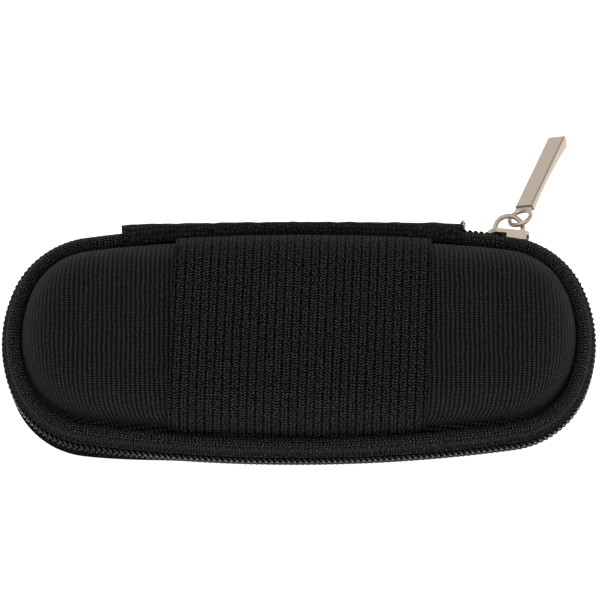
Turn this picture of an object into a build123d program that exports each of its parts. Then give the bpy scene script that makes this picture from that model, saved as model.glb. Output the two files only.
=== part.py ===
# Harmonica case: two moulded foam shells joined by a cloth hinge at the back and a coil zip round
# the other three sides, with an elastic band over the lid and a metal slider with its pull.
# Millimetres. X runs along the case, Y from the front to the hinge, Z up.
# The origin is the middle of the flat face that the case lies on.

import os
from math import acos, atan, atan2, cos, degrees, hypot, pi, radians, sin, sqrt, tan

from build123d import *

# Overall size, over the zip and over the two covers
case_length = 130.0
case_depth = 55.0
case_height = 30.0

# Plan: in each quarter an end arc, a corner arc and a bowed side arc run into each other.
# The end arc is flatter than a half circle across the case by this much of radius.
end_flare = 3.5
corner_radius = 20.0
side_radius = 340.0

# Moulded shells: foam between an outer knit and an inner lining, glued face to face
cover_cloth = 0.5
core_wall = 2.2
lining_cloth = 0.4
glue_line = 0.05
wall_draft = 4.0
top_edge_radius = 6.5
outer_flats = 2
inner_flats = 1

# Heights above the middle plane of each shell's cut rim and of the seam over the rolled tape
rim_height = 3.9
seam_height = 7.5

# Binding sewn over the raw rim, inside each shell
binding_cloth = 0.35
binding_height = 4.5

# Zip tape: rolled over at the seam, and sewn to the cover behind the roll
tape_cloth = 0.45
tape_edge = 0.9
roll_width = 2.0
roll_corner = 0.5
seam_gap = 0.05

# Coil zip: the loops of the two sides lie half a pitch apart, and each reaches past the middle
loop_pitch = 1.25
loop_width = 0.55
loop_tip = 0.35
loop_reach = 0.45
coil_thickness = 1.1
coil_half_width = 2.0

# Cloth hinge, from one end of the zip to the other
hinge_left = -39.0
hinge_right = 36.0
hinge_cloth = 0.7
hinge_step = 0.5
zip_end_gap = 0.3

# Elastic band over the lid, caught in the seams at the front and the back
band_width = 55.5
band_cloth = 1.0
band_gap = 0.1
band_shift = 0.35
band_skew = -2.2

# Slider: an outer and an inner plate on one post, edge flanges and a cast arch for the pull
slider_past_corner = 1.9
slider_length = 9.1
slider_play = 0.15
slider_side_play = 0.2
outer_plate = 0.9
inner_plate = 0.6
inner_plate_length = 7.4
flange_length = 5.0
flange_wall = 0.9
plate_corner = 0.6
post_width = 1.2
post_length = 2.6
post_tip = 0.2
arch_radius = 3.05
arch_leg = 1.05
arch_wire = 1.1

# Pull: one casting, an eye on a flat bar with a hollowed back and a thick finger end
eye_radius = 2.92
eye_hole_radius = 2.08
eye_thickness = 1.1
eye_corner = 0.3
pull_reach = 28.3
pull_width = 4.2
pull_neck = 3.4
pull_step = 0.3
pull_root = 1.65
pull_waist = 1.4
pull_tip = 2.4
pull_corner = 0.3

# How the pull hangs in the arch: its eye's place from the arch's foot, and its turns
eye_along = 2.18
eye_out = 3.99
eye_drop = 0.24
pull_turn = 15.7
pull_droop = 26.8
pull_roll = 33.0

# Values that follow from those above
middle = case_height / 2
tape_face = seam_gap + roll_width
coil_back = tape_face + seam_gap
coil_face = coil_back + coil_thickness
lining_face = cover_cloth + core_wall + lining_cloth + 2 * glue_line
end_radius = case_depth / 2 + end_flare
end_x = case_length / 2 - end_radius
side_y = case_depth / 2 - side_radius
draft_slope = tan(radians(wall_draft))


def corner_centre():
    """Centre of a corner arc, which touches its end arc and its side arc from inside."""
    from_end = end_radius - corner_radius
    from_side = side_radius - corner_radius
    span = hypot(end_x, side_y)
    ux, uy = -end_x / span, side_y / span
    along = (from_end**2 - from_side**2 + span**2) / (2 * span)
    across = sqrt(from_end**2 - along**2)
    return end_x + along * ux - across * uy, along * uy + across * ux


def rear_angle(x):
    """Angle on the rear side arc at a place along the case."""
    return degrees(acos(x / side_radius))


corner_x, corner_y = corner_centre()
end_angle = degrees(atan2(corner_y, corner_x - end_x))
side_angle = degrees(atan2(corner_y - side_y, corner_x))

slider_angle = side_angle + slider_past_corner

# Arcs of the zip line, anticlockwise: centre, radius, first angle and last angle
rear_arc = [((0, side_y), side_radius, side_angle, 180 - side_angle)]
front_arcs = [
    ((-corner_x, corner_y), corner_radius, 180 - side_angle, 180 - end_angle),
    ((-end_x, 0), end_radius, 180 - end_angle, 180 + end_angle),
    ((-corner_x, -corner_y), corner_radius, 180 + end_angle, 180 + side_angle),
    ((0, -side_y), side_radius, 180 + side_angle, 360 - side_angle),
    ((corner_x, -corner_y), corner_radius, 360 - side_angle, 360 - end_angle),
    ((end_x, 0), end_radius, -end_angle, end_angle),
    ((corner_x, corner_y), corner_radius, end_angle, side_angle),
]
hinge_arc = [((0, side_y), side_radius, rear_angle(hinge_right), rear_angle(hinge_left))]
zip_start = rear_angle(hinge_left - zip_end_gap)
zip_end = rear_angle(hinge_right + zip_end_gap)
zip_arcs = [
    ((0, side_y), side_radius, zip_start, 180 - side_angle),
    *front_arcs,
    ((0, side_y), side_radius, side_angle, zip_end),
]


def plan(inset):
    """Face inside the plan outline, drawn in from the zip line."""
    with BuildSketch() as outline:
        with BuildLine():
            for centre, radius, first, last in rear_arc + front_arcs:
                CenterArc(centre, radius - inset, first, last - first)
        make_face()
    return outline.sketch


def moulded_block(depth, flats):
    """Solid under a surface of the lid's shell, at a depth below the cover's face.

    The top edge is a fillet, or as many flats in its place where the surface is glued out of sight.
    """
    rim = middle + rim_height
    top = case_height - depth
    radius = top_edge_radius - depth
    draft = radians(wall_draft)
    inset = coil_face + depth / cos(draft)
    turns = [draft + (pi / 2 - draft) * k / flats for k in range(flats + 1)] if flats else []
    rises = [top - rim]
    leans = [draft]
    if flats:
        rises = [top - radius * (1 - sin(draft)) - rim]
        rises += [radius * (sin(b) - sin(a)) for a, b in zip(turns, turns[1:])]
        leans += [atan((cos(a) - cos(b)) / (sin(b) - sin(a))) for a, b in zip(turns, turns[1:])]
    with BuildPart() as block:
        height = rim
        for rise, lean in zip(rises, leans):
            with BuildSketch(Plane.XY.offset(height)):
                add(plan(inset))
            extrude(amount=rise, taper=degrees(lean))
            height += rise
            inset += rise * tan(lean)
        if not flats:
            fillet(block.faces().sort_by(Axis.Z)[-1].edges(), radius)
    return block.part


def across_zip(centre, radius, angle):
    """Plane across the zip: X outward from the cover's rim, Y up from the middle plane."""
    a = radians(angle)
    reach = radius - coil_face
    origin = (centre[0] + reach * cos(a), centre[1] + reach * sin(a), middle)
    return Plane(origin=origin, x_dir=(cos(a), sin(a), 0), z_dir=(sin(a), -cos(a), 0))


def carried_round(arcs, corners):
    """Solid of a closed section carried round the arcs, one revolve for each."""
    with BuildPart() as ring:
        for centre, radius, first, last in arcs:
            with BuildSketch(across_zip(centre, radius, first)):
                with BuildLine():
                    Polyline(*corners, close=True)
                make_face()
            revolve(axis=Axis((*centre, 0), (0, 0, 1)), revolution_arc=last - first)
    return ring.part


def rolled_section(outer_face, cloth):
    """Section of cloth that is sewn to the cover, rolled over at the seam and led down outside."""
    outside = [
        (outer_face, seam_height - roll_corner),
        (outer_face - roll_corner, seam_height),
        (seam_gap, seam_height),
        (seam_gap, rim_height),
    ]
    inside = [
        (seam_gap + cloth, rim_height),
        (seam_gap + cloth, seam_height - cloth),
        (outer_face - cloth, seam_height - cloth),
    ]
    return outside + inside


def lid_to_base(piece):
    """The same piece on the base, turned over about the middle plane."""
    return mirror(piece.part, about=Plane.XY.offset(middle))


# Covers: knit laminated to the outside of each shell
knit_outside = moulded_block(0, 0)
knit_inside = moulded_block(cover_cloth, outer_flats)
with BuildPart() as lid_cover:
    add(knit_outside)
    add(knit_inside, mode=Mode.SUBTRACT)
with BuildPart() as base_cover:
    lid_to_base(lid_cover)

# Cores: the foam shells that give the case its shape
foam_outside = moulded_block(cover_cloth + glue_line, outer_flats)
foam_inside = moulded_block(cover_cloth + glue_line + core_wall, inner_flats)
with BuildPart() as lid_core:
    add(foam_outside)
    add(foam_inside, mode=Mode.SUBTRACT)
with BuildPart() as base_core:
    lid_to_base(lid_core)

# Linings: brushed cloth inside the foam
lining_outside = moulded_block(lining_face - lining_cloth, inner_flats)
lining_inside = moulded_block(lining_face, inner_flats)
with BuildPart() as lid_lining:
    add(lining_outside)
    add(lining_inside, mode=Mode.SUBTRACT)
with BuildPart() as base_lining:
    lid_to_base(lid_lining)

# Bindings: tape sewn through the wall inside the rim, leaning with the wall
binding_face = -lining_face / cos(radians(wall_draft)) - glue_line
binding_lean = binding_height * draft_slope
binding_section = [
    (binding_face, rim_height),
    (binding_face - binding_cloth, rim_height),
    (binding_face - binding_cloth - binding_lean, rim_height + binding_height),
    (binding_face - binding_lean, rim_height + binding_height),
]
with BuildPart() as lid_binding:
    add(carried_round(rear_arc + front_arcs, binding_section))
with BuildPart() as base_binding:
    lid_to_base(lid_binding)

# Zip tapes: the outer leg stops short of the middle, where the coil's heads mesh
tape_section = [
    (tape_face, tape_edge),
    *rolled_section(tape_face, tape_cloth),
    (tape_face - tape_cloth, tape_edge),
]
with BuildPart() as upper_zip_tape:
    add(carried_round(zip_arcs, tape_section))
with BuildPart() as lower_zip_tape:
    lid_to_base(upper_zip_tape)

# Cloth hinge: one strip rolled over at both seams
hinge_face = tape_face + hinge_step
hinge_half = rolled_section(hinge_face, hinge_cloth)
outside_half, inside_half = hinge_half[:4], hinge_half[4:]
hinge_section = [
    *outside_half,
    *inside_half,
    *[(out, -up) for out, up in reversed(inside_half)],
    *[(out, -up) for out, up in reversed(outside_half)],
]
with BuildPart() as hinge_strip:
    add(carried_round(hinge_arc, hinge_section))

# Elastic band: follows the lid's surface and ends just above the rolled seams
band_outside = moulded_block(-band_gap - band_cloth, 0)
band_inside = moulded_block(-band_gap, 0)
with BuildPart() as elastic_band:
    add(band_outside)
    add(band_inside, mode=Mode.SUBTRACT)
    with Locations(Location((band_shift, 0, middle + seam_height + band_gap), (0, 0, band_skew))):
        Box(
            band_width,
            case_depth,
            case_height,
            align=(Align.CENTER, Align.CENTER, Align.MIN),
            mode=Mode.INTERSECT,
        )

# Zip loops: past the slider's middle the two sides part, to go round its post
part_start = flange_length - slider_length / 2 + slider_side_play
part_end = part_start + post_length / 2
part_lift = loop_reach + post_width / 2 + slider_play / 2


def past_slider(angle, arc_centre):
    """How far a loop lies past the slider's middle, towards the hinge."""
    if arc_centre == (corner_x, corner_y):
        return radians(angle - slider_angle) * corner_radius
    if arc_centre == (0, side_y) and angle < 90:
        on_side = radians(angle - side_angle) * side_radius
        return on_side + radians(side_angle - slider_angle) * corner_radius
    return -case_depth


def loop_places(shift, side):
    """Place of each loop of one side of the zip, lifted off the middle where the zip is parted."""
    places = []
    passed = 0
    along = loop_pitch + shift
    for centre, radius, first, last in zip_arcs:
        length = radians(last - first) * radius
        while along < min(passed + length, zip_length - loop_pitch / 2):
            angle = first + degrees((along - passed) / radius)
            parted = (past_slider(angle, centre) - part_start) / (part_end - part_start)
            lift = side * part_lift * min(max(parted, 0), 1)
            places.append(across_zip(centre, radius, angle).location * Location((0, lift, 0)))
            along += loop_pitch
        passed += length
    return places


zip_length = sum(radians(last - first) * radius for _, radius, first, last in zip_arcs)

with BuildPart() as loop:
    with BuildSketch(Plane(origin=(coil_back, 0, 0), x_dir=(0, 0, 1), z_dir=(-1, 0, 0))):
        with BuildLine():
            Polyline(
                (-loop_width / 2, coil_half_width),
                (loop_width / 2, coil_half_width),
                (loop_tip / 2, -loop_reach),
                (-loop_tip / 2, -loop_reach),
                close=True,
            )
        make_face()
    extrude(amount=-coil_thickness)
lower_loop = mirror(loop.part, about=Plane.XZ)

with BuildPart() as upper_coil:
    with Locations(*loop_places(0, 1)):
        add(loop.part, clean=False)
with BuildPart() as lower_coil:
    with Locations(*loop_places(loop_pitch / 2, -1)):
        add(lower_loop, clean=False)

# Slider's own frame: X along the zip towards its meshed side, Y outward, Z up
turn = radians(slider_angle)
slider_out = Vector(cos(turn), sin(turn), 0)
slider_along = Vector(sin(turn), -cos(turn), 0)
slider_origin = Vector(corner_x, corner_y, middle) + slider_out * (corner_radius - coil_face)

flange_tip = tape_face + slider_play
channel_face = coil_face + slider_play
slider_face = channel_face + outer_plate
slider_half = coil_half_width + slider_side_play + flange_wall
tape_bend = corner_radius - coil_face + tape_face - tape_cloth
tape_sag = tape_bend - sqrt(tape_bend**2 - (slider_length / 2) ** 2)
inner_face = tape_face - tape_cloth - slider_play - tape_sag
nose = -slider_length / 2
tail = slider_length / 2


def slider_plane(out):
    """Plane square to the slider's outward direction: X along the zip, Y down."""
    return Plane(origin=slider_origin + slider_out * out, x_dir=slider_along, z_dir=slider_out)


def plate(first, last, half, corner):
    """Face of a plate with a drawn-in nose and clipped tail corners."""
    upper = [
        (first, half / 3),
        (first + corner, half - 2 * corner),
        (first + 3 * corner, half),
        (last - corner, half),
        (last, half - corner),
    ]
    with BuildSketch() as outline:
        with BuildLine():
            Polyline(*upper, *[(x, -y) for x, y in reversed(upper)], close=True)
        make_face()
    return outline.sketch


with BuildPart() as slider_body:
    with BuildSketch(slider_plane(channel_face)):
        add(plate(nose, tail, slider_half, plate_corner))
    extrude(amount=outer_plate)
    with BuildSketch(slider_plane(inner_face - inner_plate)):
        add(plate(nose, nose + inner_plate_length, slider_half - slider_side_play, plate_corner))
    extrude(amount=inner_plate)
    with BuildSketch(slider_plane(flange_tip)):
        with Locations(
            (tail - plate_corner - flange_length / 2 + plate_corner / 2, slider_half - flange_wall / 2),
            (tail - plate_corner - flange_length / 2 + plate_corner / 2, flange_wall / 2 - slider_half),
        ):
            Rectangle(flange_length - plate_corner, flange_wall)
    extrude(amount=channel_face - flange_tip)
    with BuildSketch(slider_plane(inner_face)):
        with BuildLine():
            post_side = [
                (nose + plate_corner, post_width / 4),
                (nose + 2 * plate_corner, post_width / 2),
                (nose + post_length - plate_corner, post_width / 2),
                (nose + post_length, post_tip / 2),
            ]
            Polyline(*post_side, *[(x, -y) for x, y in reversed(post_side)], close=True)
        make_face()
    extrude(amount=channel_face - inner_face)
    arch_middle = slider_origin + slider_out * (slider_face + arch_leg)
    for side in (1, -1):
        foot = Plane(
            origin=arch_middle + slider_along * (side * arch_radius),
            x_dir=slider_along,
            z_dir=-slider_out,
        )
        with BuildSketch(foot) as wire_section:
            Circle(arch_wire / 2)
        extrude(amount=arch_leg + outer_plate / 2)
        if side == 1:
            revolve(wire_section.sketch, axis=Axis(arch_middle, (0, 0, 1)), revolution_arc=180)

# Pull's own frame: X across the bar, Y from the eye to the finger end, Z out of its flat face
eye_centre = (
    slider_origin
    + slider_along * eye_along
    + slider_out * (slider_face + eye_out)
    - Vector(0, 0, eye_drop)
)
yaw, droop, roll = radians(pull_turn), radians(pull_droop), radians(pull_roll)
level_side = slider_along * cos(yaw) - slider_out * sin(yaw)
level_ahead = slider_along * sin(yaw) + slider_out * cos(yaw)
pull_ahead = level_ahead * cos(droop) - Vector(0, 0, sin(droop))
pull_side = level_side * cos(roll) + level_side.cross(pull_ahead) * sin(roll)
pull_plane = Plane(origin=eye_centre, x_dir=pull_side, z_dir=pull_side.cross(pull_ahead))
pull_edge = Plane(origin=eye_centre, x_dir=pull_ahead, z_dir=pull_side)
pull_face = eye_thickness / 2 + pull_step

with BuildPart() as puller:
    with BuildSketch(pull_plane):
        Circle(eye_radius)
        with Locations((0, pull_neck - eye_hole_radius / 2)):
            Rectangle(pull_width - 2 * pull_step, eye_hole_radius)
        Circle(eye_hole_radius, mode=Mode.SUBTRACT)
    extrude(amount=eye_thickness / 2, both=True)
    chamfer(puller.edges().filter_by(GeomType.CIRCLE), eye_corner)
    with BuildSketch(pull_edge):
        with BuildLine():
            root_back = (pull_neck, pull_face - pull_root)
            tip_back = (pull_reach - pull_tip / 2, pull_face - pull_tip)
            waist_back = ((pull_neck + pull_reach) / 2, pull_face - pull_waist)
            Polyline(root_back, (pull_neck, pull_face), (pull_reach, pull_face))
            Line((pull_reach, pull_face), (pull_reach, pull_face - pull_tip / 2))
            Line((pull_reach, pull_face - pull_tip / 2), tip_back)
            ThreePointArc(tip_back, waist_back, root_back)
        make_face()
    extrude(amount=pull_width / 2, both=True)
    flat_face = puller.faces().sort_by(Axis(eye_centre, pull_plane.z_dir))[-1]
    chamfer(flat_face.edges().sort_by(Axis(eye_centre, pull_ahead))[1:], pull_corner)

os.makedirs("parts", exist_ok=True)
nodes = {
    "base_core": base_core,
    "base_cover": base_cover,
    "base_lining": base_lining,
    "base_binding": base_binding,
    "lower_zip_tape": lower_zip_tape,
    "lower_coil": lower_coil,
    "lid_core": lid_core,
    "lid_cover": lid_cover,
    "lid_lining": lid_lining,
    "lid_binding": lid_binding,
    "upper_zip_tape": upper_zip_tape,
    "upper_coil": upper_coil,
    "hinge_strip": hinge_strip,
    "elastic_band": elastic_band,
    "slider_body": slider_body,
    "puller": puller,
}
for name, node in nodes.items():
    node.part.label = name
    export_step(node.part, f"parts/{name}.step")
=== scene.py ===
import random
from math import atan2, cos, degrees, hypot, pi, radians, sin, sqrt, tan

import bmesh
import bpy
from mathutils import Matrix, Vector, noise
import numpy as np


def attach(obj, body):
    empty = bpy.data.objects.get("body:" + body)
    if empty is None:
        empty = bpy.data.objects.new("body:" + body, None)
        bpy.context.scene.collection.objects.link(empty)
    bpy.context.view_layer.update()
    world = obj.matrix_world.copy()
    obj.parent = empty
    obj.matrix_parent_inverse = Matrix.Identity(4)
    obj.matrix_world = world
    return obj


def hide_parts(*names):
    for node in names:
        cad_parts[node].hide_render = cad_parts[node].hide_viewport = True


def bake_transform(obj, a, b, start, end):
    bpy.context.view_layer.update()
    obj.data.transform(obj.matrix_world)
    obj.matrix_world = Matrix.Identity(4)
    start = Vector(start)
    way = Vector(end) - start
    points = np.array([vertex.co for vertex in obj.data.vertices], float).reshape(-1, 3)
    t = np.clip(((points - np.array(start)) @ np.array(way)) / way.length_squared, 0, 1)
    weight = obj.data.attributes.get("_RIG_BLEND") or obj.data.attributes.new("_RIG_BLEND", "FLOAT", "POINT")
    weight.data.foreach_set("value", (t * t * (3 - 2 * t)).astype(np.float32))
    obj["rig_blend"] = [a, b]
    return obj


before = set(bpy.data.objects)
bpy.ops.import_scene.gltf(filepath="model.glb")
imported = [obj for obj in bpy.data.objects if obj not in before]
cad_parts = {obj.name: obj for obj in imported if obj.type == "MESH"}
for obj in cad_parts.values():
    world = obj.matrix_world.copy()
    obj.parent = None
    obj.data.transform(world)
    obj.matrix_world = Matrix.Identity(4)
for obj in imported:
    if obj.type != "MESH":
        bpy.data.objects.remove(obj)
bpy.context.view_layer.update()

# Outer covers of the lid and the base. Ribbed polyester knit, laminated to the foam before it was
# moulded, so that its ribs sweep round where the sheet was drawn down the corners.


def linear(colour):
    """An sRGB hex colour as the linear colour that a shader takes."""
    shares = [int(colour[k : k + 2], 16) / 255 for k in (0, 2, 4)]
    return [s / 12.92 if s <= 0.04045 else ((s + 0.055) / 1.055) ** 2.4 for s in shares] + [1.0]


def add_node(material, kind, sockets=None, drives=None, **settings):
    """Adds a node: its settings first, then each socket, linked or given its value.

    Its first output drives the shader's socket of that name, where one is given.
    """
    node = material.node_tree.nodes.new(kind)
    for name, value in settings.items():
        setattr(node, name, value)
    for name, value in (sockets or {}).items():
        if isinstance(value, bpy.types.NodeSocket):
            material.node_tree.links.new(value, node.inputs[name])
        else:
            node.inputs[name].default_value = value
    if drives:
        shader = material.node_tree.nodes["Principled BSDF"]
        material.node_tree.links.new(node.outputs[0], shader.inputs[drives])
    return node


def new_material(name, **finish):
    """A material with its shader's sockets set, underscores standing for spaces in their names."""
    material = bpy.data.materials.new(name)
    material.use_nodes = True
    shader = material.node_tree.nodes["Principled BSDF"]
    for socket, value in finish.items():
        shader.inputs[socket.replace("_", " ")].default_value = value
    return material


def shade_from(material, value, low, high, dark, light):
    """Colours a material dark where a value is low and light where it is high."""
    sockets = {"Value": value, "From Min": low, "From Max": high}
    share = add_node(material, "ShaderNodeMapRange", sockets).outputs["Result"]
    shades = add_node(material, "ShaderNodeValToRGB", {"Fac": share}, drives="Base Color")
    for stop, colour in zip(shades.color_ramp.elements, (dark, light)):
        stop.color = linear(colour)


def waves(material, along, pitch):
    """A sine along the cloth, half a wave to each pitch."""
    turned = add_node(material, "ShaderNodeMath", {0: along, 1: pi / pitch}, operation="MULTIPLY")
    return add_node(material, "ShaderNodeMath", {0: turned.outputs[0]}, operation="SINE").outputs[0]


def yarn_rows(material, along, pitch):
    """Height of round yarns side by side, a pitch apart: 0 between them and 1 on their tops."""
    wave = waves(material, along, pitch)
    return add_node(material, "ShaderNodeMath", {0: wave}, operation="ABSOLUTE").outputs[0]


def add_clouds(material, flat, value, share, scale, detail=4.0):
    """Adds a share of cloudy noise on the flat cloth to a value."""
    sockets = {"Vector": flat, "Scale": scale, "Detail": detail}
    clouds = add_node(material, "ShaderNodeTexNoise", sockets).outputs["Fac"]
    return add_node(
        material, "ShaderNodeMath", {0: clouds, 1: share, 2: value}, operation="MULTIPLY_ADD"
    ).outputs[0]


# The case's plan, in millimetres as all sizes below: arcs of the line round the outside of the zip
case_length, case_depth = 130.0, 55.0
end_radius, corner_radius, side_radius = 31.0, 20.0, 340.0
zip_depth = 3.2
end_x = case_length / 2 - end_radius
side_y = case_depth / 2 - side_radius
span = hypot(end_x, side_y)
to_end, to_side = end_radius - corner_radius, side_radius - corner_radius
reach = (to_end**2 - to_side**2 + span**2) / (2 * span)
offset = sqrt(to_end**2 - reach**2)
corner_x = end_x - (reach * end_x + offset * side_y) / span
corner_y = (reach * side_y - offset * end_x) / span
end_angle = degrees(atan2(corner_y, corner_x - end_x))
side_angle = degrees(atan2(corner_y - side_y, corner_x))
outline = [
    ((0, side_y), side_radius, 90, 180 - side_angle),
    ((-corner_x, corner_y), corner_radius, 180 - side_angle, 180 - end_angle),
    ((-end_x, 0), end_radius, 180 - end_angle, 180 + end_angle),
    ((-corner_x, -corner_y), corner_radius, 180 + end_angle, 180 + side_angle),
    ((0, -side_y), side_radius, 180 + side_angle, 360 - side_angle),
    ((corner_x, -corner_y), corner_radius, 360 - side_angle, 360 - end_angle),
    ((end_x, 0), end_radius, 360 - end_angle, 360 + end_angle),
    ((corner_x, corner_y), corner_radius, 360 + end_angle, 360 + side_angle),
    ((0, side_y), side_radius, 360 + side_angle, 450),
]
outline_length = sum(radians(last - first) * radius for _, radius, first, last in outline)
beside_outline = 17.0
hair = 0.01

# A shell's section, measured outward from its rim and up from the middle of the zip
middle = 15.0
rim_height = 3.9
top_height = 15.0
edge_radius = 10.0
wall_inset = 1.4
draft = radians(4)
edge_up = top_height - edge_radius
edge_out = -wall_inset - (edge_radius + (edge_up - rim_height) * sin(draft)) / cos(draft)
flat_half_length = case_length / 2 - zip_depth + edge_out
flat_half_depth = case_depth / 2 - zip_depth + edge_out
right, rearward = Vector((1, 0, 0)), Vector((0, 1, 0))
bend_steps, wall_steps = 12, 4
top_grid = 4.0
flange_height = 4.5
flange = [(-1.36, 4.05), (-0.9, 3.82), (0.0, rim_height)]
knit_cloth = 0.4
lid_crown = 0.35

# The long walls are drawn in a little above the rim, and more at the front and the back's middle
drawn_in, drawn_in_front, drawn_in_back = 0.6, 0.7, 0.5
drawn_at_rim = 0.3
drawn_run, drawn_fade = 40.0, 10.0
wall_half_depth = 23.0

# How far the knit's ribs lean towards the middle, for each mm to the side and fourth power of a
# mm down the wall
knit_lean = 0.0000009


def on_outline(x, y):
    """How far along the outline a point lies, and its arc's centre, radius and direction there."""
    passed = 0
    for (cx, cy), radius, first, last in outline:
        turn = (degrees(atan2(y - cy, x - cx)) - first + hair) % 360 - hair
        outward = hypot(x - cx, y - cy) - radius
        if turn <= last - first + hair and abs(outward) < beside_outline:
            angle = radians(first + turn)
            return passed + radians(turn) * radius, Vector((cx, cy)), radius, angle
        passed += radians(last - first) * radius


def carry(bm, section, arcs, pace=1.5):
    """Carries a section of (outward, upward) points round arcs of the outline, a spin for each.

    Each point keeps its distance along the section in a layer of the mesh. An open section faces
    outward where it runs down.
    """
    across = bm.verts.layers.float.get("across") or bm.verts.layers.float.new("across")
    (cx, cy), radius, first, _ = arcs[0]
    points = []
    run = 0
    for k, (out, up) in enumerate(section):
        run += hypot(out - section[k - 1][0], up - section[k - 1][1]) if k else 0
        far = radius - zip_depth + out
        start = (cx + far * cos(radians(first)), cy + far * sin(radians(first)), middle + up)
        points.append(bm.verts.new(start))
        points[-1][across] = run
    sides = [bm.edges.new(pair) for pair in zip(points, points[1:])]
    geometry = points + sides
    for (cx, cy), radius, first, last in arcs:
        geometry = bmesh.ops.spin(
            bm,
            geom=geometry,
            cent=(cx, cy, 0),
            axis=(0, 0, 1),
            angle=radians(last - first),
            steps=max(2, round(radians(last - first) * radius / pace)),
        )["geom_last"]
    bmesh.ops.remove_doubles(bm, verts=bm.verts, dist=0.001)


def give_flat_places(bm, flat_place):
    """Gives each corner its place on the flat cloth, in millimetres, as flat_place says."""
    flat = bm.loops.layers.uv.verify()
    for face in bm.faces:
        places = [flat_place(vert) for vert in face.verts]
        furthest = max(u for u, _ in places)
        for loop, (u, v) in zip(face.loops, places):
            loop[flat].uv = (u + outline_length if furthest - u > outline_length / 2 else u, v)


def turn_over(bm):
    """Turns a piece made for the lid over about the middle, for the base."""
    bmesh.ops.scale(bm, vec=(1, 1, -1), verts=bm.verts, space=Matrix.Translation((0, 0, -middle)))
    bmesh.ops.reverse_faces(bm, faces=bm.faces)


def finish_piece(bm, name, material, body=None, stands_for=(), crease=40):
    """The mesh as a piece in metres, smooth but for its creases, riding on its body.

    What the base gets is made like the lid's, and turned over here.
    """
    if body == "base":
        turn_over(bm)
    bmesh.ops.scale(bm, vec=(0.001, 0.001, 0.001), verts=bm.verts)
    mesh = bpy.data.meshes.new(name)
    bm.to_mesh(mesh)
    bm.free()
    mesh.shade_smooth()
    mesh.set_sharp_from_angle(angle=radians(crease))
    mesh.materials.append(material)
    piece = bpy.data.objects.new(name, mesh)
    bpy.context.collection.objects.link(piece)
    if body:
        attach(piece, body)
    if stands_for:
        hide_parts(*stands_for)
    return piece


def add_thickness(piece, thickness):
    """Thickens a sheet behind the face that it shows."""
    cloth = piece.modifiers.new("thickness", "SOLIDIFY")
    cloth.thickness = thickness / 1000
    cloth.offset = -1


def moulded_section(depth, lowest):
    """Section of a shell's surface from the edge of its flat top down, at a depth in the wall."""
    bend = edge_radius - depth
    turn = [pi / 2 - (pi / 2 - draft) * k / bend_steps for k in range(bend_steps + 1)]
    section = [(edge_out + bend * cos(a), edge_up + bend * sin(a)) for a in turn]
    out, up = section[-1]
    drops = [(up - lowest) * k / wall_steps for k in range(1, wall_steps + 1)]
    return section + [(out + drop * tan(draft), up - drop) for drop in drops]


def close_top(bm, crown=0):
    """Fills the flat top, cuts it into a grid and lifts it to a crown."""
    highest = max(vert.co.z for vert in bm.verts) - hair
    rim = [edge for edge in bm.edges if all(vert.co.z > highest for vert in edge.verts)]
    bmesh.ops.holes_fill(bm, edges=rim, sides=0)
    for normal, half in ((right, flat_half_length), (rearward, flat_half_depth)):
        steps = int(half / top_grid)
        for k in range(-steps, steps + 1):
            top = [face for face in bm.faces if all(vert.co.z > highest for vert in face.verts)]
            parts = list({part for face in top for part in (*face.verts, *face.edges, face)})
            bmesh.ops.bisect_plane(bm, geom=parts, plane_co=normal * k * top_grid, plane_no=normal)
    for vert in bm.verts:
        if vert.co.z > highest:
            along, over = (vert.co.x / flat_half_length) ** 4, (vert.co.y / flat_half_depth) ** 2
            vert.co.z += crown * max(0, 1 - along) * max(0, 1 - over)
    bmesh.ops.recalc_face_normals(bm, faces=bm.faces)


def draw_in(bm, over=drawn_at_rim):
    """Draws a shell's long walls in above its rim, most at the front and at the back's middle.

    The wall goes in over the given height above the rim.
    """
    for vert in bm.verts:
        above = min(1, max(0, (vert.co.z - middle - rim_height) / over))
        at_middle = max(0, 1 - (vert.co.x / drawn_run) ** 2)
        more = drawn_in_back * at_middle if vert.co.y > 0 else drawn_in_front
        inward = drawn_in + more * min(1, abs(vert.co.y) / drawn_fade)
        vert.co.y *= 1 - above * inward / wall_half_depth


def laid_flat(vert, fall):
    """Place of a point of a shell on the sheet before it was moulded, fall being its way down."""
    if fall < hair:
        return vert.co.x, vert.co.y
    _, centre, radius, angle = on_outline(vert.co.x, vert.co.y)
    far = radius - zip_depth + edge_out + fall
    return centre.x + far * cos(angle), centre.y + far * sin(angle)


# Ribbed polyester knit: ribs of stitches 1 mm apart with furrows between them, matt, with a faint bloom
# where the yarn catches the light.
# A stitch is 0.55 mm long, in a slight vee. Its colour is painted shade, near black in the furrows, and
# painted highlight, lighter on the stitches' crests.
rib_pitch = 1.03
rib_wander, rib_roundness = 0.5, 0.7
stitch_length = 0.55
stitch_slant, stitch_relief = 0.2626, 0.32
knit_depth = 0.3
ribbed_knit = new_material(
    "ribbed_polyester_knit",
    Roughness=0.8,
    Specular_IOR_Level=0.08,
    Sheen_Weight=0.015,
    Sheen_Roughness=0.4,
    Sheen_Tint=linear("c8c8cc"),
)
flat = add_node(ribbed_knit, "ShaderNodeUVMap").outputs["UV"]
place = add_node(ribbed_knit, "ShaderNodeSeparateXYZ", {0: flat})
wandering = add_clouds(ribbed_knit, flat, place.outputs["X"], rib_wander, scale=0.2, detail=1.0)
rib = yarn_rows(ribbed_knit, wandering, rib_pitch)
vee = add_node(
    ribbed_knit,
    "ShaderNodeMath",
    {0: rib, 1: stitch_slant, 2: place.outputs["Y"]},
    operation="MULTIPLY_ADD",
)
stitch = waves(ribbed_knit, vee.outputs[0], stitch_length / 2)
crest = add_node(ribbed_knit, "ShaderNodeMath", {0: rib, 1: rib_roundness}, operation="POWER")
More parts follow.
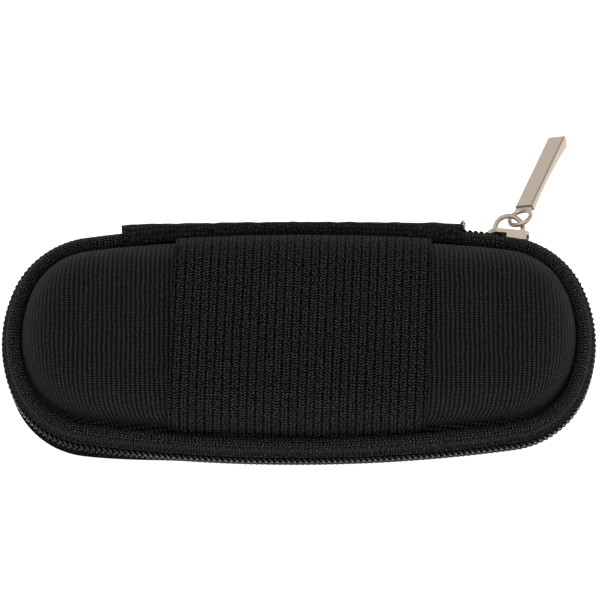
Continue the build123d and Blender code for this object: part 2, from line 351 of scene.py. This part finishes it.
knit_height = add_node(
    ribbed_knit,
    "ShaderNodeMath",
    {0: stitch, 1: stitch_relief, 2: crest.outputs[0]},
    operation="MULTIPLY_ADD",
).outputs[0]
add_node(
    ribbed_knit,
    "ShaderNodeBump",
    {"Height": knit_height, "Strength": 0.9, "Distance": knit_depth / 1000},
    drives="Normal",
)
# Painted shade and light: the colour follows the relief, near black down in the furrows and lighter on the
# crests, with a little noise of the yarn
painted_relief_shade = add_clouds(ribbed_knit, flat, knit_height, 2.4, scale=3.5, detail=3.0)
shade_from(ribbed_knit, painted_relief_shade, 1.85, 3.0, "020202", "454545")


def drawn_knit(bm):
    """Lays the ribs along the flat cloth, leaning towards the middle on their way down."""
    across = bm.verts.layers.float["across"]

    def flat_place(vert):
        u, v = laid_flat(vert, vert[across])
        return u + knit_lean * vert.co.x * vert[across] ** 4, v

    give_flat_places(bm, flat_place)


for side, crown in (("lid", lid_crown), ("base", 0)):
    bm = bmesh.new()
    carry(bm, moulded_section(0, flange_height) + flange, outline)
    close_top(bm, crown)
    drawn_knit(bm)
    draw_in(bm)
    cover = finish_piece(bm, f"{side}_cover_knit", ribbed_knit, side, [f"{side}_cover"])
    add_thickness(cover, knit_cloth)

# Foam cores of the lid and the base. EVA sheet, heated and pressed over a former into two shallow
# shells, each a little over 2 mm thick, which give the case its shape.
core_depth = 0.45
core_wall = 2.2

# Closed-cell EVA foam, skived: matt, with cells of about 0.4 mm cut open at its rim.
foam_cell, cell_depth = 0.4, 0.1
eva_foam = new_material(
    "eva_foam_skived", Base_Color=linear("242425"), Roughness=0.9, Specular_IOR_Level=0.3
)
place = add_node(eva_foam, "ShaderNodeTexCoord").outputs["Object"]
cells = add_node(eva_foam, "ShaderNodeTexVoronoi", {"Vector": place, "Scale": 1000 / foam_cell})
add_node(
    eva_foam,
    "ShaderNodeBump",
    {"Height": cells.outputs["Distance"], "Strength": 0.5, "Distance": cell_depth / 1000},
    drives="Normal",
)

for side in ("lid", "base"):
    bm = bmesh.new()
    carry(bm, moulded_section(core_depth, rim_height), outline)
    close_top(bm)
    draw_in(bm)
    core = finish_piece(bm, f"{side}_foam_core", eva_foam, side, [f"{side}_core"])
    add_thickness(core, core_wall)

# Linings of the base and the lid. Brushed tricot cloth, glued inside the foam before the shells
# are trimmed, so it follows the walls without a fold.
lining_depth = 3.2
lining_cloth = 0.35
lining_short = 0.1

# Brushed polyester tricot: a short raised nap with no thread to be seen, soft and very matt, a
# little lighter where the nap lies over.
nap_width, nap_depth, nap_patch = 0.9, 0.2, 12.0
brushed_tricot = new_material(
    "brushed_tricot_nap",
    Roughness=0.95,
    Specular_IOR_Level=0.1,
    Sheen_Weight=0.12,
    Sheen_Roughness=0.5,
    Sheen_Tint=linear("9a9aa0"),
)
place = add_node(brushed_tricot, "ShaderNodeTexCoord").outputs["Object"]
nap = add_node(
    brushed_tricot,
    "ShaderNodeTexNoise",
    {"Vector": place, "Scale": 1000 / nap_width, "Detail": 5.0},
)
add_node(
    brushed_tricot,
    "ShaderNodeBump",
    {"Height": nap.outputs["Fac"], "Strength": 0.6, "Distance": nap_depth / 1000},
    drives="Normal",
)
patches = add_node(
    brushed_tricot,
    "ShaderNodeTexNoise",
    {"Vector": place, "Scale": 1000 / nap_patch, "Detail": 4.0},
)
shade_from(brushed_tricot, patches.outputs["Fac"], 0.3, 0.75, "19191a", "232325")

for side in ("lid", "base"):
    bm = bmesh.new()
    carry(bm, moulded_section(lining_depth, rim_height + lining_short), outline)
    close_top(bm)
    draw_in(bm)
    bmesh.ops.reverse_faces(bm, faces=bm.faces)
    name = f"{side}_lining"
    lining = finish_piece(bm, f"{name}_cloth", brushed_tricot, side, [name])
    add_thickness(lining, lining_cloth)

# Bindings. Grosgrain ribbon folded over the raw rim of each shell and sewn through the wall, so
# that the cut edges of knit, foam and lining don't show when the case is open.
ribbon_cloth = 0.3
ribbon_height = 4.5
ribbon_out, ribbon_in = 0.42, -wall_inset - 3.26
ribbon_fold = 0.4
ribbon_drop = 0.1

# Polyester grosgrain: fine cross ribs 0.5 mm apart, slightly lustrous along their crests.
grosgrain_pitch, grosgrain_depth = 0.5, 0.12
grosgrain = new_material(
    "polyester_grosgrain", Base_Color=linear("1b1b1c"), Roughness=0.6, Specular_IOR_Level=0.25
)
flat = add_node(grosgrain, "ShaderNodeUVMap").outputs["UV"]
place = add_node(grosgrain, "ShaderNodeSeparateXYZ", {0: flat})
ribs = yarn_rows(grosgrain, place.outputs["X"], grosgrain_pitch)
add_node(
    grosgrain,
    "ShaderNodeBump",
    {"Height": ribs, "Strength": 0.7, "Distance": grosgrain_depth / 1000},
    drives="Normal",
)


def along_outline(bm):
    """Lays a strip flat: its length along the outline and its width across it."""
    across = bm.verts.layers.float["across"]
    give_flat_places(bm, lambda vert: (on_outline(vert.co.x, vert.co.y)[0], vert[across]))


# The ribbon runs down inside the wall, out under the rim and up again outside
turn = [radians(180 - 22.5 * k) for k in range(5)]
bows = [(ribbon_fold * cos(a), ribbon_fold * sin(a)) for a in turn]
under = rim_height - ribbon_drop
fold = [(ribbon_in - ribbon_height * tan(draft), rim_height + ribbon_height)]
fold += [(ribbon_in + ribbon_fold + bow, under - drop) for bow, drop in bows]
fold += [(ribbon_out - ribbon_fold + drop, under - bow) for bow, drop in reversed(bows)]
for side in ("lid", "base"):
    bm = bmesh.new()
    carry(bm, fold, outline)
    along_outline(bm)
    draw_in(bm)
    name = f"{side}_rim_ribbon"
    binding = finish_piece(bm, name, grosgrain, side, [f"{side}_binding"])
    add_thickness(binding, ribbon_cloth)

# Zip tapes. Woven polyester tape, sewn to each shell, rolled over its seam into a bead and led
# down to the coil, with a raised edge where the coil is sewn on. The lower one has a slack corner.
hinge_left, hinge_right = -39.0, 36.0
zip_end_gap = 0.3
tape_face = 2.05
tape_cloth = 0.45
tape_edge = 0.9
bead_radius = 1.55
bead_up = 4.25
bead_inner = -1.25
tape_tuck = 0.6


def back_angle(x):
    """Direction, from the back's centre, of its point at that x."""
    return degrees(atan2(sqrt(side_radius**2 - x**2), x))


def round_front(left, right):
    """Arcs from the back's left part round the front to its right part, ending at those x."""
    start = ((0, side_y), side_radius, back_angle(left), 180 - side_angle)
    end = ((0, side_y), side_radius, 360 + side_angle, 360 + back_angle(right))
    return [start, *outline[1:-1], end]


def bead_section(inner, radius, centre_up):
    """Section of a tape turned over in a bead beside the rim, from its seam to its outer side."""
    turn = [radians(200 - 20 * k) for k in range(11)]
    return [(inner + radius * (1 + cos(a)), centre_up + radius * sin(a)) for a in turn]


def pull_about(material, flat, pull, detail):
    """Places on the flat cloth, pulled about by up to so many millimetres, split into parts."""
    sockets = {"Vector": flat, "Scale": 0.8, "Detail": detail}
    clouds = add_node(material, "ShaderNodeTexNoise", sockets).outputs["Color"]
    pulled = add_node(
        material, "ShaderNodeVectorMath", {0: clouds, 1: pull, 2: flat}, operation="MULTIPLY_ADD"
    )
    return add_node(material, "ShaderNodeSeparateXYZ", {0: pulled.outputs[0]})


# Woven polyester tape, herringbone by the seam and plain at the coil: yarns 0.75 mm apart in slanted
# bunches. Its colour is painted light where the yarns float, as painted highlight, and dark where they dive,
# as painted shade.
bunch_pitch, bunch_rows = 0.75, 0.62
bunch_slant, bunch_relief = 0.9, 0.9
pick_pitch = 0.6
tape_depth = 0.22
plain_from, plain_to = 4.2, 4.8
woven_tape = new_material("woven_polyester_tape", Roughness=0.75, Specular_IOR_Level=0.1)
flat = add_node(woven_tape, "ShaderNodeUVMap").outputs["UV"]
place = pull_about(woven_tape, flat, pull=(1.0, 0.5, 0), detail=1.0)
row = add_node(
    woven_tape, "ShaderNodeMath", {0: place.outputs["Y"], 1: bunch_rows}, operation="PINGPONG"
)
slanted = add_node(
    woven_tape,
    "ShaderNodeMath",
    {0: row.outputs[0], 1: bunch_slant, 2: place.outputs["X"]},
    operation="MULTIPLY_ADD",
)
bunches = waves(woven_tape, slanted.outputs[0], bunch_pitch / 2)
rows = yarn_rows(woven_tape, place.outputs["Y"], bunch_rows)
herringbone = add_node(
    woven_tape, "ShaderNodeMath", {0: bunches, 1: bunch_relief, 2: rows}, operation="MULTIPLY_ADD"
)
near_coil = add_node(
    woven_tape,
    "ShaderNodeMapRange",
    {"Value": place.outputs["Y"], "From Min": plain_from, "From Max": plain_to},
)
picks = yarn_rows(woven_tape, place.outputs["X"], pick_pitch)
tape_height = add_node(
    woven_tape,
    "ShaderNodeMix",
    {"Factor": near_coil.outputs["Result"], "A": herringbone.outputs[0], "B": picks},
)
uneven = add_clouds(woven_tape, flat, tape_height.outputs["Result"], 3.4, scale=2.2)
add_node(
    woven_tape,
    "ShaderNodeBump",
    {"Height": uneven, "Strength": 0.9, "Distance": tape_depth / 1000},
    drives="Normal",
)
# Painted shade and light: the colour follows the relief, near black where the yarns dive and lighter where
# they float
shade_from(woven_tape, uneven, 2.42, 3.7, "020202", "4e4f4a")

leg = [(1.9, 3.75), (1.98, 3.4), (2.12, 3.15)]
ridge = [(2.4, 2.9), (2.62, 2.68), (2.7, 2.5), (2.6, 2.34), (2.3, 2.26)]
edge = [(tape_face, 2.2), (tape_face - 0.02, 1.6), (tape_face, tape_edge)]

# The lower tape was sewn on a little slack, and bulges at the left front corner
bulge, bulge_run = 1.2, 26.0
bulge_place = on_outline(-48.0, -19.5)[0]
bulge_top = bead_up + 1
bulge_rise, bulge_fall = 1.2, 1.6


def slack_corner(bm):
    """Pushes the tape's lower half outward round the left front corner."""
    for vert in bm.verts:
        place, _, _, angle = on_outline(vert.co.x, vert.co.y)
        beside = max(0, 1 - ((place - bulge_place) / bulge_run) ** 2) ** 2
        height = vert.co.z - middle
        rise, fall = (height - tape_edge) / bulge_rise, (bulge_top - height) / bulge_fall
        swell = bulge * beside * min(1, max(0, rise), max(0, fall))
        vert.co += swell * Vector((cos(angle), sin(angle), 0))


for side, body in (("upper", "lid"), ("lower", "base")):
    bm = bmesh.new()
    around = round_front(hinge_left + tape_tuck, hinge_right - tape_tuck)
    carry(bm, bead_section(bead_inner, bead_radius, bead_up) + leg + ridge + edge, around)
    along_outline(bm)
    if side == "lower":
        slack_corner(bm)
    tape = finish_piece(bm, f"{side}_tape", woven_tape, body, [f"{side}_zip_tape"])
    add_thickness(tape, tape_cloth)

# Zip coils. Each is one nylon monofilament, wound hot into loops and sewn along its tape. The two
# mesh half a pitch apart, and past the slider they part to go round its post.
loop_pitch = 1.25
filament = 0.275
leg_top, head_up = 1.26, 0.095
inner_leg, outer_leg = 2.38, 2.92
leg_run, head_run = 0.2, 0.1
bend_cuts = 3
slider_past_corner = 1.9
zip_arcs = round_front(hinge_left - zip_end_gap, hinge_right + zip_end_gap)
part_start, part_end, part_lift = 0.65, 1.95, 1.125

# Nylon monofilament, drawn: smooth and slightly glossy, so each turn carries a thin highlight.
nylon_coil = new_material(
    "nylon_monofilament_drawn",
    Base_Color=linear("080808"),
    Roughness=0.25,
    IOR=1.53,
    Specular_IOR_Level=0.12,
)


def wound_loop():
    """One turn of the coil: down the outer leg, round the head, up the inner leg, over the heel."""
    bm = bmesh.new()
    ring = bmesh.ops.create_circle(
        bm, segments=6, radius=filament, matrix=Matrix.Translation((outer_leg, 0, leg_top))
    )["verts"]
    geometry = ring + list({edge for vert in ring for edge in vert.link_edges})
    centre = (inner_leg + outer_leg) / 2
    advance = 2 * leg_run + head_run
    heel_out, heel_run = outer_leg - inner_leg, loop_pitch - advance
    head = (centre, leg_run, head_up)
    heel = (centre, advance + heel_run / 2, leg_top)
    for drop, cent, axis, run in (
        (head_up - leg_top, head, (0, 1, 0), head_run / bend_cuts),
        (leg_top - head_up, heel, (-heel_run, heel_out, 0), 0),
    ):
        edges = [part for part in geometry if isinstance(part, bmesh.types.BMEdge)]
        extruded = bmesh.ops.extrude_edge_only(bm, edges=edges)["geom"]
        verts = [part for part in extruded if isinstance(part, bmesh.types.BMVert)]
        bmesh.ops.translate(bm, vec=(0, leg_run, drop), verts=verts)
        edges = [part for part in extruded if isinstance(part, bmesh.types.BMEdge)]
        geometry = bmesh.ops.spin(
            bm,
            geom=verts + [edge for edge in edges if all(vert in verts for vert in edge.verts)],
            cent=cent,
            axis=Vector(axis).normalized(),
            dvec=(0, run, 0),
            angle=pi,
            steps=bend_cuts,
        )["geom_last"]
    bmesh.ops.holes_fill(bm, edges=bm.edges, sides=6)
    bmesh.ops.recalc_face_normals(bm, faces=bm.faces)
    return bm


def along_zip(distance):
    """Frame at a distance along the zip: X outward from the rim, Y along the zip and Z up."""
    for (cx, cy), radius, first, last in zip_arcs:
        length = radians(last - first) * radius
        if distance <= length:
            break
        distance -= length
    angle = radians(first) + distance / radius
    rim = Vector((cx, cy, middle)) + (radius - zip_depth) * Vector((cos(angle), sin(angle), 0))
    return Matrix.Translation(rim) @ Matrix.Rotation(angle, 4, "Z")


zip_length = sum(radians(last - first) * radius for _, radius, first, last in zip_arcs)
to_slider = zip_length - radians(back_angle(hinge_right + zip_end_gap) - side_angle) * side_radius
to_slider += radians(slider_past_corner) * corner_radius
turn_of_wire = bpy.data.meshes.new("turn_of_wire")
bm = wound_loop()
bm.to_mesh(turn_of_wire)
bm.free()
for side, body, shift in (("upper", "lid", 0), ("lower", "base", loop_pitch / 2)):
    bm = bmesh.new()
    distance = loop_pitch + shift
    while distance < zip_length - loop_pitch / 2:
        parted = (distance - to_slider - part_start) / (part_end - part_start)
        lift = Matrix.Translation((0, 0, part_lift * min(max(parted, 0), 1)))
        bm.from_mesh(turn_of_wire)
        bm.verts.ensure_lookup_table()
        newest = bm.verts[-len(turn_of_wire.vertices) :]
        bmesh.ops.transform(bm, matrix=along_zip(distance) @ lift, verts=newest)
        distance += loop_pitch
    finish_piece(bm, f"{side}_coil_wire", nylon_coil, body, [f"{side}_coil"], crease=75)
bpy.data.meshes.remove(turn_of_wire)

# Hinge strip. A doubled strip of coarse woven cloth in place of the zip at the back, sewn into both
# seams. It bends between the base and the lid, and its right end is cut and frays a little.
hinge_face = 2.55
hinge_cloth = 0.7
strip_inner, strip_radius, strip_up = -0.95, 1.6, 4.55
strip_levels = (3.8, 3, 2.2, 1.4, 0.7)
hinge_arc = [((0, side_y), side_radius, back_angle(hinge_right), back_angle(hinge_left))]

# Coarse plain-woven polyester: thick soft yarns about 1 mm apart over and under each other, matt
# and slightly hairy.
yarn_pitch, yarn_depth = 0.95, 0.3
coarse_weave = new_material("coarse_woven_polyester", Roughness=0.85, Specular_IOR_Level=0.1)
flat = add_node(coarse_weave, "ShaderNodeUVMap").outputs["UV"]
place = pull_about(coarse_weave, flat, pull=(2.0, 2.0, 0), detail=2.0)
along_yarns = yarn_rows(coarse_weave, place.outputs["X"], yarn_pitch)
across_yarns = yarn_rows(coarse_weave, place.outputs["Y"], yarn_pitch)
crossings = add_node(
    coarse_weave, "ShaderNodeMath", {0: along_yarns, 1: across_yarns}, operation="MULTIPLY"
)
uneven = add_clouds(coarse_weave, flat, crossings.outputs[0], 1.7, scale=3.0)
add_node(
    coarse_weave,
    "ShaderNodeBump",
    {"Height": uneven, "Strength": 0.9, "Distance": yarn_depth / 1000},
    drives="Normal",
)
# Painted shade and light: the colour follows the relief, near black where the yarns dive under each other
# and lighter on their crossings
shade_from(coarse_weave, uneven, 0.9, 1.95, "050505", "2b2b2b")

# The strip has lumps, thins towards its ends and stands out fuller away from its middle
lump_height, lumps_per_mm = 0.16, 0.4
end_thinning, thinning_run = 0.15, 4.0
hinge_fullness = 0.0012

bm = bmesh.new()
upper_half = bead_section(strip_inner, strip_radius, strip_up)
upper_half += [(hinge_face, up) for up in strip_levels]
carry(
    bm,
    upper_half + [(hinge_face, 0)] + [(out, -up) for out, up in reversed(upper_half)],
    hinge_arc,
    pace=0.8,
)
along_outline(bm)
bm.normal_update()
for vert in bm.verts:
    spot = Vector((vert.co.x * lumps_per_mm, vert.co.z * lumps_per_mm, 0))
    from_end = min(vert.co.x - hinge_left, hinge_right - vert.co.x)
    thinned = end_thinning * max(0, 1 - from_end / thinning_run) ** 2
    vert.co += vert.normal * (lump_height * noise.noise(spot) - thinned)
    rim_y = side_y + sqrt((side_radius - zip_depth) ** 2 - vert.co.x**2)
    vert.co.y += (vert.co.y - rim_y) / hinge_face * hinge_fullness * vert.co.x**2
strip = finish_piece(bm, "hinge_strip_cloth", coarse_weave, None, ["hinge_strip"])
add_thickness(strip, hinge_cloth)
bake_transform(strip, "base", "lid", start=(0, 0.0258, 0.0125), end=(0, 0.0258, 0.0175))

# Frayed yarn ends at the strip's right end, a millimetre or so long
frayed_yarns = 40
yarn_root, yarn_tip = 0.12, 0.03
scatter = random.Random(5)
bm = bmesh.new()
cut_y = side_y + sqrt(side_radius**2 - hinge_right**2) - zip_depth
cut_end = Matrix.Translation((hinge_right, cut_y, middle))
for _ in range(frayed_yarns):
    lean = Matrix.Rotation(radians(90) + scatter.uniform(-0.75, 0.75), 4, "Y")
    lean = Matrix.Rotation(scatter.uniform(-0.3, 0.9), 4, "Z") @ lean
    root = Matrix.Translation((-0.4, scatter.uniform(1.3, 3.9), scatter.uniform(2.8, 5.6)))
    length = scatter.uniform(0.7, 1.6)
    bmesh.ops.create_cone(
        bm,
        cap_ends=True,
        segments=4,
        radius1=yarn_root,
        radius2=yarn_tip,
        depth=length,
        matrix=cut_end @ root @ lean @ Matrix.Translation((0, 0, length / 2)),
    )
finish_piece(bm, "frayed_yarn_ends", coarse_weave, "lid")

# Elastic band. Woven elastic webbing stretched over the lid from seam to seam, a little askew. Its
# ends go down between the wall and the bead, where they are sewn into the seam.
band_width = 55.5
band_cloth = 1.0
band_gap = 0.08
band_shift = 0.35
band_skew = radians(-2.2)
band_lowest = 5.6
band_foot = [(-0.55, 5.1), (-0.6, 4.8), (-0.65, 4.5)]
band_drawn_over = 1.2

# Woven elastic webbing: columns of short slanted floats 0.9 mm apart over covered rubber. Every
# second column slants the other way, so that two and two read as a row of vees between furrows.
column_pitch, column_roundness, pair_relief = 0.905, 0.3, 0.4
float_pitch, float_slant, float_relief = 0.68, 0.55, 0.28
web_depth = 0.22
elastic_webbing = new_material("woven_elastic_webbing", Roughness=0.75, Specular_IOR_Level=0.03)
flat = add_node(elastic_webbing, "ShaderNodeUVMap").outputs["UV"]
place = add_node(elastic_webbing, "ShaderNodeSeparateXYZ", {0: flat})
column = yarn_rows(elastic_webbing, place.outputs["X"], column_pitch)
rounded = add_node(
    elastic_webbing, "ShaderNodeMath", {0: column, 1: column_roundness}, operation="POWER"
)
zigzag = add_node(
    elastic_webbing,
    "ShaderNodeMath",
    {0: place.outputs["X"], 1: column_pitch},
    operation="PINGPONG",
)
tilted = add_node(
    elastic_webbing,
    "ShaderNodeMath",
    {0: zigzag.outputs[0], 1: float_slant, 2: place.outputs["Y"]},
    operation="MULTIPLY_ADD",
)
floats = waves(elastic_webbing, tilted.outputs[0], float_pitch / 2)
paired = add_node(
    elastic_webbing,
    "ShaderNodeMath",
    {0: zigzag.outputs[0], 1: pair_relief, 2: rounded.outputs[0]},
    operation="MULTIPLY_ADD",
)
web_height = add_node(
    elastic_webbing,
    "ShaderNodeMath",
    {0: floats, 1: float_relief, 2: paired.outputs[0]},
    operation="MULTIPLY_ADD",
)
uneven = add_clouds(elastic_webbing, flat, web_height.outputs[0], 3.4, scale=2.8)
add_node(
    elastic_webbing,
    "ShaderNodeBump",
    {"Height": uneven, "Strength": 0.85, "Distance": web_depth / 1000},
    drives="Normal",
)
# Painted shade and light: the colour follows the relief, near black in the furrows between the floats and
# lighter on the floats
shade_from(elastic_webbing, uneven, 2.67, 3.9, "010101", "51514e")

bm = bmesh.new()
carry(bm, moulded_section(-band_gap - band_cloth, band_lowest) + band_foot, outline)
close_top(bm, lid_crown)
band_middle = Vector((band_shift, 0, 0))
across_band = Vector((cos(band_skew), sin(band_skew), 0))
along_band = Vector((-sin(band_skew), cos(band_skew), 0))
for sign in (1, -1):
    bmesh.ops.bisect_plane(
        bm,
        geom=[*bm.verts, *bm.edges, *bm.faces],
        plane_co=band_middle + sign * across_band * band_width / 2,
        plane_no=sign * across_band,
        clear_outer=True,
    )
across = bm.verts.layers.float["across"]


def band_place(vert):
    """Place of a point on the flat band, its width first and its length second."""
    spot = Vector((*laid_flat(vert, vert[across]), 0))
    return (vert.co - band_middle).dot(across_band), spot.dot(along_band)


give_flat_places(bm, band_place)
draw_in(bm, over=band_drawn_over)
band = finish_piece(bm, "elastic_band_webbing", elastic_webbing, "lid", ["elastic_band"])
add_thickness(band, band_cloth)
softened = band.modifiers.new("softened_edge", "BEVEL")
softened.width = 0.0003
softened.segments = 3
softened.limit_method = "ANGLE"
softened.angle_limit = radians(50)

# Slider and puller. Zinc castings, barrel-polished and nickel-plated: the slider with its post and
# the arch for the puller, and the puller with its eye cast on. Both come from the frame.

# Satin nickel plate over zinc: warm grey and half dull, with a fine grain from the tumbling.
grain_width, grain_depth = 0.7, 0.06
satin_nickel = new_material(
    "satin_nickel_plate", Base_Color=linear("b0a294"), Metallic=1.0, Roughness=0.46
)
place = add_node(satin_nickel, "ShaderNodeTexCoord").outputs["Object"]
grain = add_node(
    satin_nickel,
    "ShaderNodeTexNoise",
    {"Vector": place, "Scale": 1000 / grain_width, "Detail": 4.0},
)
add_node(
    satin_nickel,
    "ShaderNodeBump",
    {"Height": grain.outputs["Fac"], "Strength": 0.12, "Distance": grain_depth / 1000},
    drives="Normal",
)
for casting in ("slider_body", "puller"):
    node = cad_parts[casting]
    node.data.materials.clear()
    node.data.materials.append(satin_nickel)

# The photograph's view: from the front and well above, from about a metre away
view_elevation = radians(71)
view_turn = radians(0.15)
view_distance = 1100.0
view_width = 131.6
film_width = 36.0
aim = Vector((0.26, 10.04, middle))
ahead = Vector((0, cos(view_elevation), -sin(view_elevation)))
up = right.cross(ahead)
turned_right = right * cos(view_turn) - up * sin(view_turn)
turned_up = right * sin(view_turn) + up * cos(view_turn)
camera_data = bpy.data.cameras.new("camera")
camera_data.sensor_width = film_width
camera_data.lens = film_width * view_distance / view_width
camera_data.clip_start = 0.05
camera_data.clip_end = 10.0
camera = bpy.data.objects.new("camera", camera_data)
facing = Matrix((turned_right, turned_up, -ahead)).transposed().to_4x4()
camera.matrix_world = Matrix.Translation((aim - ahead * view_distance) / 1000) @ facing
bpy.context.collection.objects.link(camera)
bpy.context.scene.camera = camera

# A white table lit until it shows next to no shadow, and soft light from all round. Its top lies a
# hair below the base's flat face, so that the two never share a plane.
table_half, table_drop = 1.5, 0.0001
below = Matrix.Translation((0, 0, -table_drop))
bm = bmesh.new()
bmesh.ops.create_grid(bm, x_segments=1, y_segments=1, size=table_half, matrix=below)
mesh = bpy.data.meshes.new("table_top")
bm.to_mesh(mesh)
bm.free()
table = bpy.data.objects.new("table_top", mesh)
bpy.context.collection.objects.link(table)
white_sweep = new_material(
    "white_sweep",
    Base_Color=linear("f4f4f4"),
    Roughness=0.9,
    Specular_IOR_Level=0.0,
    Emission_Color=linear("ffffff"),
    Emission_Strength=0.75,
)
mesh.materials.append(white_sweep)

world = bpy.data.worlds.new("studio")
bpy.context.scene.world = world
world.use_nodes = True
world.node_tree.nodes["Background"].inputs["Color"].default_value = linear("ffffff")
world.node_tree.nodes["Background"].inputs["Strength"].default_value = 0.5
for name, place, size, power in (
    ("soft_box_above", (-250, 250, 900), 0.9, 4.4),
    ("soft_box_front", (300, -800, 500), 0.7, 3.5),
    ("soft_box_right", (1000, 150, 260), 0.6, 2.0),
):
    lamp_data = bpy.data.lights.new(name, "AREA")
    lamp_data.shape = "SQUARE"
    lamp_data.size = size
    lamp_data.energy = power
    lamp = bpy.data.objects.new(name, lamp_data)
    facing = Vector(place).to_track_quat("Z", "Y").to_matrix().to_4x4()
    lamp.matrix_world = Matrix.Translation(Vector(place) / 1000) @ facing
    bpy.context.collection.objects.link(lamp)
bpy.context.scene.view_settings.view_transform = "Standard"
